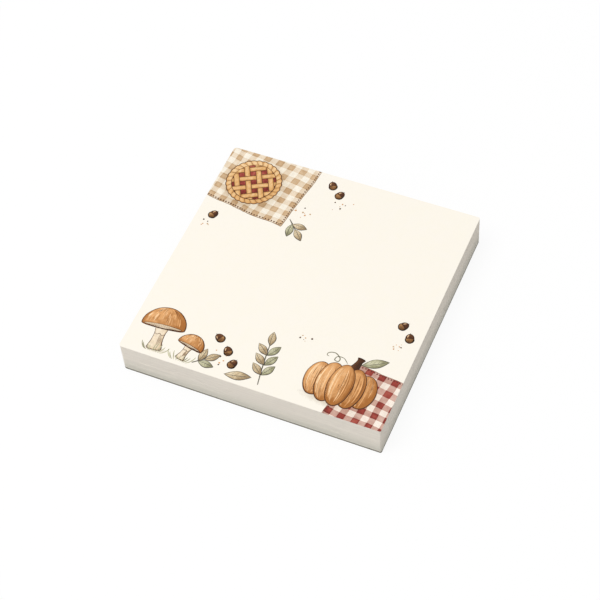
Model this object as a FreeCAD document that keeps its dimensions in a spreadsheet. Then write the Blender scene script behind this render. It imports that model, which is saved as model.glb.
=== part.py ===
import FreeCAD
import Part
import Sketcher
import math
import os
import re

# A square pad of sticky notes that lies on a table. Origin: centre of the underside. +X runs
# along the front edge, +Y towards the back edge, where the notes are glued, and +Z is up.

# Sizes, in millimetres and degrees. Each one is a cell of the sheet under its own name.
SIZES = {
    # the pad
    "pad_width": 76.2,
    "pad_depth": 76.2,
    "sheet_count": 100,
    "sheet_thickness": 0.1,
    "backing_thickness": 0.6,
    "backing_inset": 0.05,
    # the band of glue that holds the last note to the backing
    "glue_width": 15.0,
    "glue_thickness": 0.03,
    "glue_from_back": 1.5,
    "glue_from_sides": 1.5,
    # the print on the top note
    "ink_thickness": 0.05,
    "stem_thickness": 0.4,
    # pumpkin, near the front right corner
    "pumpkin_to_right": 5.4,
    "pumpkin_to_front": 3.0,
    "pumpkin_width": 20.0,
    "pumpkin_height": 13.4,
    "pumpkin_ribs": 5,
    "rib_width": 6.8,
    "rib_fall": 0.2,
    "stalk_length": 3.4,
    "stalk_width": 2.0,
    "stalk_lean": 14.0,
    # pie seen from above, near the back left corner
    "pie_to_left": 2.6,
    "pie_to_back": 2.2,
    "pie_width": 16.4,
    "pie_turn": 28.0,
    "crust_rim": 1.7,
    "crust_strip": 1.6,
    "crust_strips": 4,
    # mushrooms, in the front left corner; the second one is a share of the first
    "mushroom_from_left": 9.2,
    "mushroom_from_front": 2.6,
    "cap_width": 12.6,
    "cap_height": 6.6,
    "mushroom_stem_width": 3.4,
    "mushroom_stem_height": 7.4,
    "mushroom_lean": 5.0,
    "second_from_left": 17.2,
    "second_from_front": 2.2,
    "second_share": 0.62,
    "second_lean": -12.0,
    # leaves, single and on sprigs
    "leaf_length": 4.6,
    "leaf_width": 2.1,
    "leaf_spread": 42.0,
    "lone_leaf_length": 7.4,
    "lone_leaf_width": 2.7,
    # scattered nuts
    "nut_length": 3.0,
    "nut_width": 2.3,
    # checked cloths under the pumpkin and the pie, cut off by the edges of the note
    "check_pitch": 3.8,
    "red_cloth_right_of_stalk": 1.2,
    "red_cloth_behind_pumpkin": 1.2,
    "red_cloth_turn": -7.0,
    "red_cloth_checks_wide": 5,
    "red_cloth_checks_deep": 6,
    "tan_cloth_right_of_pie": 5.4,
    "tan_cloth_before_pie": 4.2,
    "tan_cloth_turn": -8.0,
    "tan_cloth_checks_wide": 8,
    "tan_cloth_checks_deep": 7,
}

# Where some motifs are measured from: corners of the note, the pumpkin, the pie and the cloths' corners.
LEFT, RIGHT = "-pad_width / 2", "pad_width / 2"
FRONT, BACK = "-pad_depth / 2", "pad_depth / 2"
PUMPKIN = (f"{RIGHT} - pumpkin_to_right - pumpkin_width / 2",
           f"{FRONT} + pumpkin_to_front + pumpkin_height / 2")
PIE = (f"{LEFT} + pie_to_left + pie_width / 2", f"{BACK} - pie_to_back - pie_width / 2")
RED_CLOTH = (f"{PUMPKIN[0]} + red_cloth_right_of_stalk",
             f"{PUMPKIN[1]} + pumpkin_height / 2 + red_cloth_behind_pumpkin")
TAN_CLOTH = (f"{PIE[0]} + pie_width / 2 + tan_cloth_right_of_pie",
             f"{PIE[1]} - pie_width / 2 - tan_cloth_before_pie")
FRONT_LEFT, FRONT_RIGHT = (LEFT, FRONT), (RIGHT, FRONT)

# Small motifs: what each one is measured from, its X and Y from there and its turn from +Y. A sprig's
# place is its foot, and its length and pairs of leaves follow.
SPRIGS = {
    "tall_sprig": (PUMPKIN, -20.4, -7.7, 9.0, 17.5, 3),
    "low_sprig": (FRONT_LEFT, 21.0, 2.2, -52.0, 8.0, 1),
    "back_sprig": (TAN_CLOTH, 1.6, 3.4, -136.0, 8.5, 1),
}
NUTS = (
    (FRONT_LEFT, 28.6, 9.0, 35.0),
    (FRONT_LEFT, 31.4, 5.6, -20.0),
    (FRONT_LEFT, 24.8, 12.2, 60.0),
    (FRONT_RIGHT, -3.6, 30.2, 15.0),
    (FRONT_RIGHT, -6.6, 33.4, -40.0),
    (TAN_CLOTH, 8.4, 19.0, 30.0),
    (TAN_CLOTH, 11.6, 16.4, -25.0),
    (TAN_CLOTH, -19.6, -2.6, -30.0),
)
LONE_LEAVES = (
    (FRONT_LEFT, 30.6, 2.0, -78.0),
    (PUMPKIN, 3.0, 7.9, -62.0),
)
for name, (_, across, away, turn, length, pairs) in SPRIGS.items():
    SIZES |= {f"{name}_across": across, f"{name}_away": away, f"{name}_turn": turn}
    SIZES |= {f"{name}_length": length, f"{name}_pairs": pairs}
for kind, places in (("nut", NUTS), ("lone_leaf", LONE_LEAVES)):
    for number, (_, across, away, turn) in enumerate(places, start=1):
        name = f"{kind}_{number}"
        SIZES |= {f"{name}_across": across, f"{name}_away": away, f"{name}_turn": turn}

doc = FreeCAD.newDocument("sticky_note_pad")
sheet = doc.addObject("Spreadsheet::Sheet", "sizes")
for row, (name, value) in enumerate(SIZES.items(), start=1):
    sheet.set(f"A{row}", name)
    sheet.set(f"B{row}", str(value))
    sheet.setAlias(f"B{row}", name)
doc.recompute()

# Rules: expressions on the sheet, in which each size is written by its bare name.
SIZE_NAME = re.compile(r"\b(" + "|".join(SIZES) + r")\b")
PAGE_TOP = "backing_thickness + sheet_count * sheet_thickness"


def bind(thing, **rules):
    """Binds properties of an object to rules; a double underscore stands for a dot."""
    for name, rule in rules.items():
        thing.setExpression(name.replace("__", "."), SIZE_NAME.sub(r"sizes.\1", rule))
    return thing


def place(thing, x="0", y="0", z="0", turn="0"):
    bind(thing, Placement__Base__x=x, Placement__Base__y=y, Placement__Base__z=z)
    return bind(thing, Placement__Rotation__Angle=turn)


def offset(anchor, name):
    """The X and Y of a small motif."""
    return f"{anchor[0]} + {name}_across", f"{anchor[1]} + {name}_away"


def count(name):
    return int(getattr(sheet, name))


# Slabs: sketched rectangles, padded upwards.

def rectangle(body, name, width, depth, back):
    """A rectangle on the body's XY plane, centred in X, with its back side at y = back."""
    sketch = body.newObject("Sketcher::SketchObject", name)
    plane = next(item for item in body.Origin.OriginFeatures if item.Role == "XY_Plane")
    sketch.AttachmentSupport = [(plane, "")]
    sketch.MapMode = "FlatFace"
    corners = [FreeCAD.Vector(x, y, 0) for x, y in ((-1, -1), (1, -1), (1, 1), (-1, 1))]
    for start, end in zip(corners, corners[1:] + corners[:1]):
        sketch.addGeometry(Part.LineSegment(start, end))
    for side in range(4):
        sketch.addConstraint(Sketcher.Constraint("Coincident", side, 2, (side + 1) % 4, 1))
        way = "Vertical" if side % 2 else "Horizontal"
        sketch.addConstraint(Sketcher.Constraint(way, side))
    for label, constraint, rule in (
        ("width", Sketcher.Constraint("DistanceX", 0, 1, 0, 2, 2.0), width),
        ("depth", Sketcher.Constraint("DistanceY", 1, 1, 1, 2, 2.0), depth),
        ("left", Sketcher.Constraint("DistanceX", 0, 1, -1, 1, 1.0), f"({width}) / 2"),
        ("back", Sketcher.Constraint("DistanceY", -1, 1, 1, 2, 1.0), back),
    ):
        sketch.renameConstraint(sketch.addConstraint(constraint), label)
        bind(sketch, **{f"Constraints__{label}": rule})
    return sketch


def slab(label, width, depth, back, thickness, z="0"):
    body = doc.addObject("PartDesign::Body", label)
    pad = body.newObject("PartDesign::Pad", f"{label}_pad")
    pad.Profile = rectangle(body, f"{label}_outline", width, depth, back)
    bind(pad, Length=thickness)
    return place(body, z=z)


# Ink: flat fields on the XY plane, one ink_thickness high unless a height is given.

def box(name, width, length, height, x, y):
    field = doc.addObject("Part::Box", name)
    bind(field, Length=width, Width=length, Height=height)
    return place(field, x, y)


def disc(name, radius, x="0", y="0"):
    field = doc.addObject("Part::Cylinder", name)
    bind(field, Radius=radius, Height="ink_thickness")
    return place(field, x, y)


def oval(name, width, length, x="0", y="0", turn="0"):
    outline = doc.addObject("Part::Ellipse", f"{name}_outline")
    bind(outline, MajorRadius=f"max({width}; {length}) / 2", MinorRadius=f"min({width}; {length}) / 2")
    field = doc.addObject("Part::Extrusion", name)
    field.Base = outline
    field.DirMode = "Custom"
    field.Dir = FreeCAD.Vector(0, 0, 1)
    field.Solid = True
    bind(field, LengthFwd="ink_thickness")
    return place(field, x, y, turn=f"{turn} + ({length} > {width} ? 90 : 0)")


def group(name, fields):
    """Fields that stay as they are and turn together."""
    together = doc.addObject("Part::Compound", name)
    together.Links = fields
    return together


def fuse(name, fields):
    if len(fields) == 1:
        return fields[0]
    joined = doc.addObject("Part::MultiFuse", name)
    joined.Shapes = fields
    return joined


def common(name, field, other):
    shared = doc.addObject("Part::Common", name)
    shared.Base, shared.Tool = field, other
    return shared


def cut(name, field, other):
    rest = doc.addObject("Part::Cut", name)
    rest.Base, rest.Tool = field, other
    return rest


def leaf(name, width, length, x="0", y="0", turn="0"):
    """Two arcs that meet at the origin and at the tip, on +Y."""
    radius = f"(({length})^2 + ({width})^2) / (4 * ({width}))"
    sides = [
        disc(f"{name}_side_{sign}", radius, f"{sign} * ({radius} - ({width}) / 2)", f"({length}) / 2")
        for sign in (-1, 1)
    ]
    return place(common(name, *sides), x, y, turn=turn)


def dome(name, width, height, x="0", y="0", turn="0"):
    """The part of a disc above a chord, which is centred on the origin along X."""
    radius = f"(({width})^2 / 4 + ({height})^2) / (2 * ({height}))"
    whole = disc(f"{name}_disc", radius, y=f"({height}) - ({radius})")
    above = box(f"{name}_above", width, height, "ink_thickness", f"-({width}) / 2", "0")
    return place(common(name, whole, above), x, y, turn=turn)


def stem(name, width, length, x="0", y="0", turn="0"):
    """A straight band along +Y from the origin, which is in the middle of its foot."""
    band = box(f"{name}_band", width, length, "ink_thickness", f"-({width}) / 2", "0")
    return place(group(name, [band]), x, y, turn=turn)


def pumpkin_field():
    ribs = []
    for number in range(count("pumpkin_ribs")):
        aside = f"({number} / (pumpkin_ribs - 1) - 0.5)"
        height = f"pumpkin_height * (1 - rib_fall * (2 * {aside})^2)"
        ribs.append(oval(f"rib_{number}", "rib_width", height, f"{aside} * (pumpkin_width - rib_width)"))
    return place(fuse("pumpkin", ribs), *PUMPKIN)


def stalk_field():
    """Starts behind the middle of the pumpkin and stands stalk_length out of its top."""
    return stem("stalk", "stalk_width", "pumpkin_height / 2 + stalk_length", *PUMPKIN, "-stalk_lean")


def pie_fields():
    """The crust, a rim with crossed strips, and the whole disc of filling under it."""
    inside = "(pie_width - 2 * crust_rim)"
    rim = cut("rim", disc("rim_outside", "pie_width / 2"), disc("rim_inside", f"{inside} / 2"))
    start, high = f"-{inside} / 2", "ink_thickness"
    strips = []
    for number in range(count("crust_strips")):
        at = f"{inside} * (({number} + 0.5) / crust_strips - 0.5) - crust_strip / 2"
        strips.append(box(f"strip_along_{number}", "crust_strip", inside, high, at, start))
        strips.append(box(f"strip_across_{number}", inside, "crust_strip", high, start, at))
    limit = disc("strips_limit", "(pie_width - crust_rim) / 2")
    middle = common("strips_inside", fuse("strips", strips), limit)
    crust = place(fuse("crust", [rim, middle]), *PIE, turn="pie_turn")
    filling = disc("filling", f"({inside} + crust_rim) / 2", *PIE)
    return crust, filling


def mushroom_fields(name, x, y, share, lean):
    """A cap on top of a stem; both turn about the stem's foot."""
    cap_foot = f"({share}) * mushroom_stem_height"
    cap = dome(f"{name}_cap_dome", f"({share}) * cap_width", f"({share}) * cap_height", y=cap_foot)
    stalk = stem(f"{name}_stem", f"({share}) * mushroom_stem_width", cap_foot, x, y, lean)
    return place(group(f"{name}_cap", [cap]), x, y, turn=lean), stalk


def sprig_field(name):
    """A straight stem with a leaf at its tip and pairs of leaves that open by leaf_spread."""
    parts = [stem(f"{name}_stem", "stem_thickness", f"{name}_length - leaf_length / 2")]
    parts.append(leaf(f"{name}_tip", "leaf_width", "leaf_length", y=f"{name}_length - leaf_length"))
    pairs = count(f"{name}_pairs")
    for number in range(pairs):
        at = f"({name}_length - leaf_length) * ({number} + 1) / ({name}_pairs + 1)"
        for side in (-1, 1):
            label = f"{name}_leaf_{number}_{'left' if side > 0 else 'right'}"
            parts.append(leaf(label, "leaf_width", "leaf_length", y=at, turn=f"{side} * leaf_spread"))
    return place(fuse(name, parts), *offset(SPRIGS[name][0], name), turn=f"{name}_turn")


def scatter(kind, shape, places):
    """One shape for each place in a list, at the sizes that the sheet holds for it."""
    return [
        shape(name, f"{kind}_width", f"{kind}_length", *offset(anchor, name), f"{name}_turn")
        for name, (anchor, *_) in ((f"{kind}_{n}", where) for n, where in enumerate(places, start=1))
    ]


def showing(name, field, above):
    """What shows of a field of ink: inside the note's edges, and not under what lies above it."""
    inside = common(f"{name}_inside", field, page)
    return cut(f"{name}_shown", inside, above) if above else inside


def printed(label, field, z="0"):
    """A field of ink as a sub-part, on the top note."""
    field.Label = label
    field.Refine = True
    return place(field, z=f"{PAGE_TOP} + {z}")


def cloth_prints(name, x, y, turn, above):
    """A checked cloth with a corner at (x, y), deep along its own X and wide along its own Y: its
    stripes, and the squares where they cross."""
    band, half = "check_pitch / 2", "ink_thickness / 2"
    deep, wide = (f"({name}_checks_{way} - 0.5) * check_pitch" for way in ("deep", "wide"))
    warp = [
        box(f"{name}_warp_{number}", band, wide, half, f"{number} * check_pitch", "0")
        for number in range(count(f"{name}_checks_deep"))
    ]
    weft = [
        box(f"{name}_weft_{number}", deep, band, half, "0", f"{number} * check_pitch")
        for number in range(count(f"{name}_checks_wide"))
    ]
    ways = [
        showing(f"{name}_{way}", place(group(f"{name}_{way}", bands), x, y, turn=turn), above)
        for way, bands in (("warp", warp), ("weft", weft))
    ]
    stripes = fuse(f"{name}_stripes", ways)
    squares = common(f"{name}_squares", *ways)
    return [printed(f"print_{name}_stripes", stripes), printed(f"print_{name}_squares", squares, half)]


# The paper, the backing and the glue between them
sheets = slab("note_sheets", "pad_width", "pad_depth", BACK, "sheet_count * sheet_thickness",
              "backing_thickness")
backing = slab("backing_sheet", "pad_width - 2 * backing_inset", "pad_depth - 2 * backing_inset",
               f"{BACK} - backing_inset", "backing_thickness")
GLUE = ("pad_width - 2 * glue_from_sides", "glue_width", f"{BACK} - glue_from_back")
glue = slab("glue_band", *GLUE, "glue_thickness", "backing_thickness")

# The last note lies flat on the backing, over the glue, which takes a shallow bed in its underside.
doc.recompute()
solid_volume = sheets.Shape.Volume
bed = sheets.newObject("PartDesign::Pocket", "glue_bed")
bed.Profile = rectangle(sheets, "glue_bed_outline", *GLUE)
bed.Reversed = True
bind(bed, Length="glue_thickness")
doc.recompute()
if not math.isclose(solid_volume - sheets.Shape.Volume, glue.Shape.Volume, rel_tol=1e-6):
    raise ValueError("the bed in the last note isn't as large as the glue")

# The print
page = box("page", "pad_width", "pad_depth", "ink_thickness", LEFT, FRONT)
nuts = scatter("nut", oval, NUTS)
pumpkin = pumpkin_field()
stalk = stalk_field()
crust, filling = pie_fields()
mushrooms = [
    mushroom_fields("first", f"{LEFT} + mushroom_from_left", f"{FRONT} + mushroom_from_front",
                    "1", "mushroom_lean"),
    mushroom_fields("second", f"{LEFT} + second_from_left", f"{FRONT} + second_from_front",
                    "second_share", "second_lean"),
]
caps = [cap for cap, _ in mushrooms]
stems = [stalk_below for _, stalk_below in mushrooms]
leaves = [sprig_field(name) for name in SPRIGS]
leaves += scatter("lone_leaf", leaf, LONE_LEAVES)

# Each field of ink, from the uppermost down. What lies above a field hides its share of it.
LAYERS = {
    "print_pumpkin": [pumpkin],
    "print_pie_crust": [crust],
    "print_pie_filling": [filling],
    "print_mushroom_caps": caps,
    "print_mushroom_stems": stems,
    "print_nuts": [*nuts, stalk],
    "print_leaves": leaves,
}
parts = [sheets, backing, glue]
above = None
for label, fields in LAYERS.items():
    field = fuse(f"{label}_field", fields)
    parts.append(printed(label, showing(label, field, above)))
    above = fuse(f"{label}_and_above", [above, field]) if above else field
parts += cloth_prints("red_cloth", *RED_CLOTH, "red_cloth_turn - 90", above)
parts += cloth_prints("tan_cloth", *TAN_CLOTH, "tan_cloth_turn + 90", above)
doc.recompute()

for thing in doc.Objects:
    if "Invalid" in thing.State or "Error" in thing.State:
        raise ValueError(f"{thing.Name} failed: {thing.State}")
os.makedirs("parts", exist_ok=True)
for part in parts:
    if part.Shape.isNull() or not part.Shape.isValid() or not part.Shape.Solids:
        raise ValueError(f"{part.Label} has no valid solid")
for part in parts:
    part.Shape.exportStep(os.path.join("parts", f"{part.Label}.step"))
    print(f"{part.Label}: {len(part.Shape.Solids)} solids, {part.Shape.Volume:.3f} mm3")
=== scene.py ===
import bmesh
import bpy
import math
import random
from mathutils import Matrix, Vector, noise


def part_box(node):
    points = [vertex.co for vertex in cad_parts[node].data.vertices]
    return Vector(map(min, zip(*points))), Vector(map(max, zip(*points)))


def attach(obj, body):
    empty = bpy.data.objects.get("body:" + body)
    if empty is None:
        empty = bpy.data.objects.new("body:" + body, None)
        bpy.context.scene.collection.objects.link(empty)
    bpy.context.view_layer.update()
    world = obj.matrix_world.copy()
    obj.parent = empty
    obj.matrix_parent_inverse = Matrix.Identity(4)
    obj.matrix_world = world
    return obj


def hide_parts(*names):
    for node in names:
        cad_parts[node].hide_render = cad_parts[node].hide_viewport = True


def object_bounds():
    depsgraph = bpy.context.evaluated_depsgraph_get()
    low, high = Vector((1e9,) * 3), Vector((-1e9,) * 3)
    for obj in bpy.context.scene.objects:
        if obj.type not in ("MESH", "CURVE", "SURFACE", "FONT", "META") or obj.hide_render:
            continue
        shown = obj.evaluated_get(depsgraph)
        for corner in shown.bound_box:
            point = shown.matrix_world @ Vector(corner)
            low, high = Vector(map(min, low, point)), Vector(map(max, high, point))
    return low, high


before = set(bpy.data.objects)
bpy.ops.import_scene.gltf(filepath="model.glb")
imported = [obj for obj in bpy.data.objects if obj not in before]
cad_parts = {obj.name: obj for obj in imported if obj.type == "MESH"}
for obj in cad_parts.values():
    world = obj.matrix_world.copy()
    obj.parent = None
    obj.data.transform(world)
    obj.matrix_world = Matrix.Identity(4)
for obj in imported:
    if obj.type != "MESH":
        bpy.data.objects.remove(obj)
cad_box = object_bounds()

# Units: paper, board and ink are in millimetres, and the drawing is measured from the top note's front
# left corner, X along the front edge and Y towards the back. Meshes, light and camera are in metres.
MM = 0.001
PAGE_LOW, PAGE_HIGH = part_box("note_sheets")
PAGE_WIDE = (PAGE_HIGH.x - PAGE_LOW.x) / MM

# A rank is a height in the ink: 0 is the paper, every other rank is at least INK_LEAST above it, and
# RANKS is the top of the printed solids. A layer covers those of lower ranks.
INK_ROOM = (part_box("print_pumpkin")[1].z - PAGE_HIGH.z) / MM
INK_LEAST = 0.01
RANKS = 25
SHADE_RANK = 0.5
GROUND_RANK, STRIPE_RANK, SQUARE_RANK, STITCH_RANK = 1, 2, 3, 4
CRUMB_RANK = 2
SPRIG_RANK, LEAF_RANK, END_LEAF_RANK = 5, 6, 7
NUT_RANK, CUP_RANK = 8, 9
STALK_RANK, RIB_RANK = 8, 11
FILLING_RANK, UNDER_RANK, OVER_RANK, CRIMP_RANK = 8, 10, 12, 14
STEM_RANK, CAP_RANK, GILL_RANK, GILL_LINE_RANK, GRASS_RANK = 8, 11, 13.2, 14, 15


def page_box(node):
    """Centre and size of a printed node on the page."""
    low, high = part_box(node)
    centre = ((low.x + high.x) / 2 - PAGE_LOW.x) / MM, ((low.y + high.y) / 2 - PAGE_LOW.y) / MM
    return centre, ((high.x - low.x) / MM, (high.y - low.y) / MM)


PUMPKIN, PUMPKIN_SIZE = page_box("print_pumpkin")
PIE, PIE_SIZE = page_box("print_pie_crust")

# One corner of each cloth, measured from the motif that lies on it
RIGHT_OF_STALK, BEHIND_PUMPKIN = 1.2, 1.2
RIGHT_OF_PIE, BEFORE_PIE = 5.4, 4.2
RED_CLOTH = (PUMPKIN[0] + RIGHT_OF_STALK, PUMPKIN[1] + PUMPKIN_SIZE[1] / 2 + BEHIND_PUMPKIN)
TAN_CLOTH = (PIE[0] + PIE_SIZE[0] / 2 + RIGHT_OF_PIE, PIE[1] - PIE_SIZE[1] / 2 - BEFORE_PIE)


# Outlines of the sheets, anticlockwise from the front left corner

WAYS = ((1, 0), (0, 1), (-1, 0), (0, -1))
CORNER_ROUNDS = (0.9, 0.45, 0.5, 1.0)
ROUND_STEPS = 4
SIDE_STEPS = 24
PAGE_TRIM = 0.03
SAME_WAY = 0.9999


def corners_of(low, high):
    return ((low.x, low.y), (high.x, low.y), (high.x, high.y), (low.x, high.y))


def sheet_outline(low, high, inset):
    """Points round a sheet between two corners of its box, with its own corners rounded.
    inset(side, share) says how far in an edge stands."""
    corners = corners_of(low, high)
    spans = (high.x - low.x, high.y - low.y)
    points = []
    for side, (wx, wy) in enumerate(WAYS):
        bx, by = WAYS[side - 1]
        radius = CORNER_ROUNDS[side] * MM
        into = inset(side, 0.0) * MM + radius
        before = inset((side - 1) % 4, 1.0) * MM + radius
        x, y = corners[side]
        x, y = x - wy * into - by * before, y + wx * into + bx * before
        for step in range(ROUND_STEPS + 1):
            angle = math.pi / 2 * step / ROUND_STEPS
            c, s = radius * math.cos(angle), radius * math.sin(angle)
            points.append((x + by * c + wy * s, y - bx * c - wx * s))
        for step in range(1, SIDE_STEPS):
            share = step / SIDE_STEPS
            along, into = spans[side % 2] * share, inset(side, share) * MM
            x, y = corners[side]
            points.append((x + wx * along - wy * into, y + wy * along + wx * into))
    return points


def flush(side, share):
    """The top note's straight edge, where the ink ends too."""
    return PAGE_TRIM


def page_cuts():
    """Planes along the top note's edges and round its corners: a point on each, and its way out."""
    rim = sheet_outline(PAGE_LOW, PAGE_HIGH, flush)
    cuts = []
    for start, end in zip(rim, rim[1:] + rim[:1]):
        out = Vector((end[1] - start[1], start[0] - end[0], 0)).normalized()
        if not cuts or out.dot(cuts[-1][1]) < SAME_WAY:
            cuts.append((Vector((*start, 0)), out))
    return cuts


PAGE_CUTS = page_cuts()


# Colours

def tone(code):
    """A colour written as sRGB hex, in the linear values that shaders take."""
    parts = [int(code[k:k + 2], 16) / 255 for k in (0, 2, 4)]
    return tuple(v / 12.92 if v <= 0.04045 else ((v + 0.055) / 1.055) ** 2.4 for v in parts)


def mix(first, second, share):
    share = min(max(share, 0.0), 1.0)
    return tuple(a + (b - a) * share for a, b in zip(first, second))


def between_tones(tones, share):
    """From the light tone at 0 over the plain one to the dark one at 1."""
    light, plain, dark = tones
    return mix(light, plain, 2 * share) if share < 0.5 else mix(plain, dark, 2 * share - 1)


def in_shade(colour, share):
    """A colour times a share, a little warmer where it is darker."""
    return tuple(v * share**power for v, power in zip(colour, (0.8, 1.0, 1.3)))


# The drawing is lit from the back left. Washes have three tones: light, plain and dark.
LIGHT_WAY = (-0.55, 0.8)
SHADE_WAY = (0.6, -0.8)
LINE = tone("55311A")
LEAF_LINE = tone("58524A")
DARK_LINE = tone("2B1B12")
RED_THREAD = tone("6B2F28")
TAN_THREAD = tone("5E3B28")
CARAMEL = (tone("FCD6A8"), tone("E2A86E"), tone("AA6C33"))
CRUST = (tone("F8D9AA"), tone("DEAA6A"), tone("A9703C"))
RUST = (tone("BE6A5A"), tone("9A4036"), tone("6E2720"))
ROSE = (tone("DEBFB0"), tone("C99F90"), tone("B08272"))
SAND = (tone("F1E4D0"), tone("E7D4BA"), tone("D9C1A0"))
TAN = (tone("DCC2A0"), tone("CCAB84"), tone("B18E66"))
CREAM = (tone("FBF0DC"), tone("F1DFC4"), tone("D8BF9B"))
SAGE = (tone("DAD6B8"), tone("BDBA98"), tone("93906E"))
STRAW = (tone("E8D8BA"), tone("D0BA95"), tone("A58D6A"))
NUT_CUPS = (tone("C49C6C"), tone("96693E"), tone("5E3E20"))
BROWN = (tone("8A5A34"), tone("54301A"), tone("2C170D"))
LINEN = tone("FBF4E8")
RED_GROUND = (LINEN, tone("F3E4D6"), tone("E8CFC2"))
TAN_GROUND = (LINEN, tone("F5ECDA"), tone("EADBC2"))
PAPER = tone("F8F2E6")
PAPER_SHADE = tone("D9CDBB")


# Shapes on the page: lists of (x, y)

def turned(points, at, turn=0.0, size=1.0):
    """Points moved from a motif's own frame to the page."""
    c, s = math.cos(math.radians(turn)) * size, math.sin(math.radians(turn)) * size
    return [(at[0] + x * c - y * s, at[1] + x * s + y * c) for x, y in points]


def placing(at, turn=0.0, size=1.0):
    """A function that moves a motif's points to the page."""
    return lambda points: turned(points, at, turn, size)


def mottle(x, y, scale, seed):
    """Smooth noise from -1 to 1 at a place, in smaller spots where the scale is larger."""
    return noise.noise(Vector((x * scale, y * scale, seed)))


def oval(width, length, count, at, turn=0.0, rough=0.0, seed=0.0):
    points = []
    for k in range(count):
        angle = 2 * math.pi * k / count
        c, s = math.cos(angle), math.sin(angle)
        swell = 1 + rough * mottle(c, s, 1.7, seed)
        points.append((c * width / 2 * swell, s * length / 2 * swell))
    return turned(points, at, turn)


def flowing(knots, closed=False, steps=8):
    """A smooth line through a few knots."""
    count = len(knots)
    spans = count if closed else count - 1
    points = []
    for k in range(spans):
        numbers = range(k - 1, k + 3)
        if closed:
            near = [knots[number % count] for number in numbers]
        else:
            near = [knots[min(max(number, 0), count - 1)] for number in numbers]
        for step in range(steps):
            points.append(blend_of(near, step / steps))
    return points if closed else points + [knots[-1]]


def blend_of(near, t):
    """The point at t on the span between the middle two of four knots."""
    weights = (-t + 2 * t**2 - t**3, 2 - 5 * t**2 + 3 * t**3, t + 4 * t**2 - 3 * t**3, -t**2 + t**3)
    return tuple(sum(w * p[axis] for w, p in zip(weights, near)) / 2 for axis in (0, 1))


def line(start, end, steps=8, bow=0.0):
    """A run between two points that bows to its left by a share of its length."""
    dx, dy = end[0] - start[0], end[1] - start[1]
    points = []
    for k in range(steps + 1):
        t = k / steps
        aside = 4 * bow * t * (1 - t)
        points.append((start[0] + dx * t - dy * aside, start[1] + dy * t + dx * aside))
    return points


def area(outline):
    pairs = zip(outline, outline[1:] + outline[:1])
    return sum(a[0] * b[1] - b[0] * a[1] for a, b in pairs) / 2


def middle(outline):
    return tuple(sum(p[axis] for p in outline) / len(outline) for axis in (0, 1))


CLOUD_SCALE, SPECK_SCALE = 0.8, 2.6


def painted(tones, centre, reach, towards=LIGHT_WAY, rim=0.4, grain=0.25, shift=0.0, seed=0.0):
    """Watercolour: light on the side it faces, dark on the other, and pooled darker along its edge."""
    def paint(x, y, depth):
        lean = ((x - centre[0]) * towards[0] + (y - centre[1]) * towards[1]) / reach
        share = 0.5 - 0.5 * lean + rim * (1 - depth) ** 4 + shift
        share += grain * mottle(x, y, CLOUD_SCALE, seed)
        share += grain / 2 * mottle(x, y, SPECK_SCALE, seed + 9)
        return between_tones(tones, share)

    return paint


# Ink

# A pen line's swell in the shade, how soon it tapers, and how often the hand's press changes and how
# much that changes the tone
PEN_SWELL = 0.4
TAPER_POWER = 0.6
PRESS_PACE = 0.35
PRESS_TONE = 0.25

# How much a cell grows or shrinks, as a share of its width
OVERLAP = 0.01
SHRINK = 0.004

# In metres: how near to a cut a point counts as on it, and the shortest edge that is kept
CUT_SLACK = 1e-9
LEAST_EDGE = 1e-7


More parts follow.
